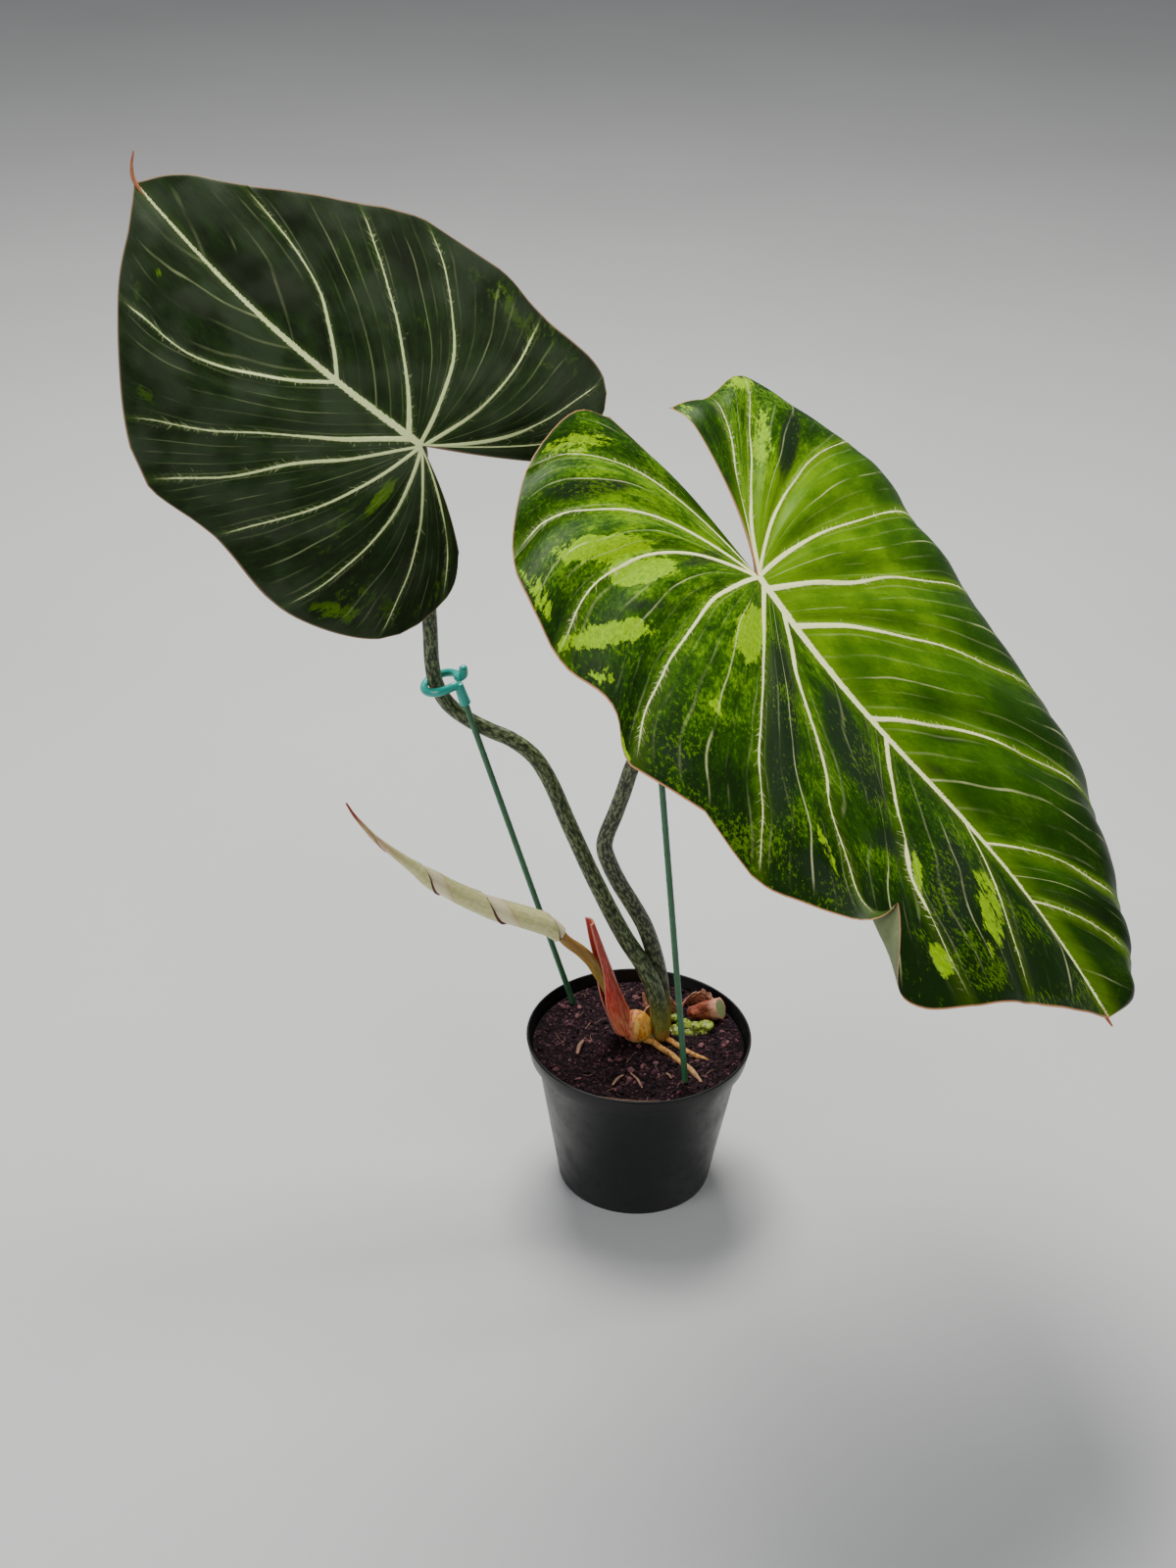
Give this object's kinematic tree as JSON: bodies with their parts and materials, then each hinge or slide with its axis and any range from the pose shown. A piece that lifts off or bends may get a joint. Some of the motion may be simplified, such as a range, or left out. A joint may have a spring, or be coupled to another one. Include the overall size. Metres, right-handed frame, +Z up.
{
  "type": "potted philodendron",
  "caption": "Heart-leaved philodendron with a creeping stem in a round nursery pot, with its petioles clipped to thin stakes.",
  "frame": {"origin": "centre of the pot's flat base", "axes": "+Z up out of the pot; the plant's front faces -Y; the front leaf hangs to +X"},
  "size_m": [0.5633, 0.3779, 0.6288],
  "materials": {
    "pot": "smooth black moulded plastic",
    "soil": "dark crumbly potting mix",
    "rhizome": "waxy yellow-green creeping stem",
    "petiole": "olive-grey mottled leaf stalk",
    "rear_leaf": "dark velvety green with pale veins",
    "front_leaf": "marbled green and lime with cream veins",
    "cataphyll": "waxy red sheath",
    "new_petiole": "brown-orange young stalk",
    "rolled_leaf": "pale grey-green furled blade",
    "stub": "reddish-brown cut stalk",
    "dry_sheath": "papery tan sheath",
    "root": "orange-tan root",
    "stake": "dark green plastic-coated stake",
    "clip": "glossy teal plastic"
  },
  "bodies": {
    "root": {"pot": "pot", "soil": "soil", "rhizome": "rhizome", "petiole_rear": "petiole", "petiole_front": "petiole", "leaf_rear": "rear_leaf", "leaf_front": "front_leaf", "cataphyll": "cataphyll", "petiole_new": "new_petiole", "leaf_rolled": "rolled_leaf", "petiole_stub": "stub", "base_sheath": "dry_sheath", "dry_sheath": "dry_sheath", "dry_scale": "dry_sheath", "root_front": "root", "root_side": "root", "stake_left": "stake", "stake_right": "stake", "clip_left": "clip", "clip_right": "clip"}
  },
  "joints": []
}
